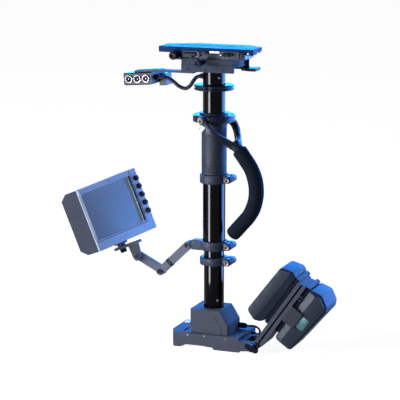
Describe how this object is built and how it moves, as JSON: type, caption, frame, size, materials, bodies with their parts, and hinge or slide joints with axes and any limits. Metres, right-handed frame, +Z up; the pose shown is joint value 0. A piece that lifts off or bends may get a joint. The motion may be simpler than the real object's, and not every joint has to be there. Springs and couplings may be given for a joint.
{
  "type": "camera stabilizer",
  "caption": "Hand-held camera stabilizer sled: telescopic post, gimbal with a curved foam handle, sliding camera stage, folding arm with a monitor, and a hinged battery arm on the base.",
  "frame": {"origin": "on the post's axis, on the flat underside of the base boss, at the level the base stands on", "axes": "+Z up along the post, +X along the base towards the battery arm, -Y towards the front that the picture shows"},
  "size_m": [0.6211, 0.1929, 0.6805],
  "materials": {
    "satin_black": "satin black anodised metal",
    "gloss_tube": "polished black lacquered tube",
    "charcoal": "fine matte charcoal paint",
    "grey_metal": "matte grey anodised metal",
    "steel": "plain bright screws and sockets",
    "blue_anodised": "blue anodised machined plate",
    "blue_bezel": "light blue painted bezel",
    "screen": "dark screen behind a clear cover",
    "foam": "closed cell foam sleeve",
    "rubber": "black rubber",
    "black_plastic": "moulded black plastic",
    "white_plastic": "white plastic"
  },
  "bodies": {
    "base": {"base_tray": "charcoal", "base_block": "charcoal", "lower_tube": "gloss_tube", "lower_collar": "satin_black", "lower_collar_screw": "steel", "hinge_block": "charcoal", "base_lead": "rubber"},
    "rocker": {"power_switch": "white_plastic"},
    "battery_arm": {"battery_rail": "charcoal", "battery_upper": "black_plastic", "battery_lower": "black_plastic"},
    "release_up": {"battery_release_upper": "grey_metal"},
    "release_low": {"battery_release_lower": "grey_metal"},
    "wing": {"wing_knob": "black_plastic"},
    "mast": {"upper_tube": "gloss_tube", "middle_collar": "satin_black", "middle_collar_screw": "steel", "upper_collar": "satin_black", "upper_collar_screw": "steel", "docking_ring": "satin_black", "docking_screw": "steel", "stage_base": "charcoal", "stage_body": "charcoal", "box_arm": "charcoal", "connector_box": "charcoal", "video_connectors": "steel", "stage_cable": "rubber", "gimbal_sleeve": "grey_metal", "gimbal_bearing": "satin_black", "arm_bolt_shoulder": "satin_black"},
    "gimbal_housing": {"bearing_housing": "satin_black"},
    "gimbal_ring_body": {"gimbal_ring": "satin_black"},
    "handle": {"yoke": "satin_black", "yoke_bolt_front": "steel", "yoke_bolt_back": "steel", "handle_stem": "grey_metal", "handle_grip": "foam"},
    "carriage": {"stage_carriage": "satin_black"},
    "plate": {"camera_plate": "blue_anodised", "spirit_level": "white_plastic"},
    "side_knob_body": {"side_knob": "black_plastic"},
    "fore_aft_knob_body": {"fore_aft_knob": "black_plastic"},
    "lever": {"lock_lever": "black_plastic"},
    "upper_link_body": {"upper_link": "grey_metal"},
    "link_end_body": {"link_end": "grey_metal", "arm_bolt_elbow": "satin_black"},
    "lower_link_body": {"lower_link": "grey_metal", "arm_bolt_wrist": "satin_black"},
    "stand": {"monitor_yoke": "grey_metal"},
    "thumbscrew": {"shoe_thumbscrew": "black_plastic"},
    "monitor": {"monitor_shoe": "satin_black", "monitor_housing": "charcoal", "monitor_bezel": "blue_bezel", "monitor_screen": "screen"},
    "keys": {"key_strip": "rubber"},
    "knob_1": {"monitor_knob_1": "black_plastic"},
    "knob_2": {"monitor_knob_2": "black_plastic"},
    "knob_3": {"monitor_knob_3": "black_plastic"},
    "knob_4": {"monitor_knob_4": "black_plastic"},
    "knob_5": {"monitor_knob_5": "black_plastic"}
  },
  "joints": [
    {"name": "post_extend", "type": "slide", "parent": "base", "child": "mast", "axis": [0, 0, 1], "range_m": [-0.012, 0.1]},
    {"name": "gimbal_pan", "type": "hinge", "parent": "mast", "child": "gimbal_housing", "pos_m": [0, 0, 0.521], "axis": [0, 0, 1], "continuous": true},
    {"name": "gimbal_tilt", "type": "hinge", "parent": "gimbal_housing", "child": "gimbal_ring_body", "pos_m": [0, 0, 0.521], "axis": [0.9781, -0.2079, 0], "range_deg": [-30, 30]},
    {"name": "gimbal_roll", "type": "hinge", "parent": "gimbal_ring_body", "child": "handle", "pos_m": [0, 0, 0.521], "axis": [-0.2079, -0.9781, 0], "range_deg": [0, 60]},
    {"name": "carriage_slide", "type": "slide", "parent": "mast", "child": "carriage", "axis": [0, 1, 0], "range_m": [-0.012, 0.012]},
    {"name": "side_knob_turn", "type": "hinge", "parent": "mast", "child": "side_knob_body", "pos_m": [-0.008, -0.045, 0.6491], "axis": [0, 1, 0], "range_deg": [-207, 207]},
    {"name": "plate_slide", "type": "slide", "parent": "carriage", "child": "plate", "axis": [1, 0, 0], "range_m": [-0.02, 0.02]},
    {"name": "fore_aft_knob_turn", "type": "hinge", "parent": "carriage", "child": "fore_aft_knob_body", "pos_m": [-0.073, -0.045, 0.6625], "axis": [0, 1, 0], "range_deg": [-144, 144]},
    {"name": "lock_lever_turn", "type": "hinge", "parent": "carriage", "child": "lever", "pos_m": [0.076, 0, 0.645], "axis": [0, 0, 1], "range_deg": [0, 45]},
    {"name": "arm_shoulder", "type": "hinge", "parent": "mast", "child": "upper_link_body", "pos_m": [-0.0602, 0, 0.2273], "axis": [0, 1, 0], "range_deg": [-25, 20]},
    {"name": "link_twist", "type": "hinge", "parent": "upper_link_body", "child": "link_end_body", "pos_m": [-0.10307, -0.005, 0.18532], "axis": [-0.7145, 0, -0.6997], "range_deg": [-20, 20]},
    {"name": "arm_elbow", "type": "hinge", "parent": "link_end_body", "child": "lower_link_body", "pos_m": [-0.12772, 0, 0.16118], "axis": [0, 1, 0], "range_deg": [-20, 20]},
    {"name": "arm_wrist", "type": "hinge", "parent": "lower_link_body", "child": "stand", "pos_m": [-0.18502, 0, 0.19013], "axis": [0, 1, 0], "range_deg": [-15, 15]},
    {"name": "monitor_swivel", "type": "hinge", "parent": "stand", "child": "monitor", "pos_m": [-0.228, -0.005, 0.221], "axis": [-0.3827, 0, 0.9239], "range_deg": [-30, 30]},
    {"name": "thumbscrew_turn", "type": "hinge", "parent": "stand", "child": "thumbscrew", "pos_m": [-0.22188, -0.005, 0.20622], "axis": [-0.3827, 0, 0.9239], "continuous": true},
    {"name": "monitor_knob_1_turn", "type": "hinge", "parent": "monitor", "child": "knob_1", "pos_m": [-0.21621, 0.05516, 0.35977], "axis": [0.8394, -0.4179, 0.3477], "range_deg": [-135, 135]},
    {"name": "monitor_knob_2_turn", "type": "hinge", "parent": "monitor", "child": "knob_2", "pos_m": [-0.2086, 0.05516, 0.34139], "axis": [0.8394, -0.4179, 0.3477], "range_deg": [-135, 135]},
    {"name": "monitor_knob_3_turn", "type": "hinge", "parent": "monitor", "child": "knob_3", "pos_m": [-0.20098, 0.05516, 0.323], "axis": [0.8394, -0.4179, 0.3477], "range_deg": [-135, 135]},
    {"name": "monitor_knob_4_turn", "type": "hinge", "parent": "monitor", "child": "knob_4", "pos_m": [-0.19337, 0.05516, 0.30462], "axis": [0.8394, -0.4179, 0.3477], "range_deg": [-135, 135]},
    {"name": "monitor_knob_5_turn", "type": "hinge", "parent": "monitor", "child": "knob_5", "pos_m": [-0.18575, 0.05516, 0.28623], "axis": [0.8394, -0.4179, 0.3477], "range_deg": [-135, 135]},
    {"name": "keys_press", "type": "slide", "parent": "monitor", "child": "keys", "axis": [-0.8394, 0.4179, -0.3477], "range_m": [0, 0.0008], "stiffness_N_per_m": 900},
    {"name": "battery_arm_hinge", "type": "hinge", "parent": "base", "child": "battery_arm", "pos_m": [0.111, 0, 0.017], "axis": [0, 1, 0], "range_deg": [-30, 50]},
    {"name": "wing_knob_turn", "type": "hinge", "parent": "base", "child": "wing", "pos_m": [0.111, -0.05, 0.017], "axis": [0, 1, 0], "continuous": true},
    {"name": "upper_release", "type": "slide", "parent": "battery_arm", "child": "release_up", "axis": [0.5736, 0, 0.8192], "range_m": [0, 0.004], "stiffness_N_per_m": 300},
    {"name": "lower_release", "type": "slide", "parent": "battery_arm", "child": "release_low", "axis": [0.5736, 0, 0.8192], "range_m": [0, 0.004], "stiffness_N_per_m": 300},
    {"name": "power_rocker", "type": "hinge", "parent": "base", "child": "rocker", "pos_m": [-0.079, 0.0425, 0.034], "axis": [1, 0, 0], "range_deg": [-8, 0]}
  ],
  "couplings": [
    {"joint": "side_knob_turn", "follows": "carriage_slide", "rad_per_m": 300},
    {"joint": "fore_aft_knob_turn", "follows": "plate_slide", "rad_per_m": 125}
  ]
}
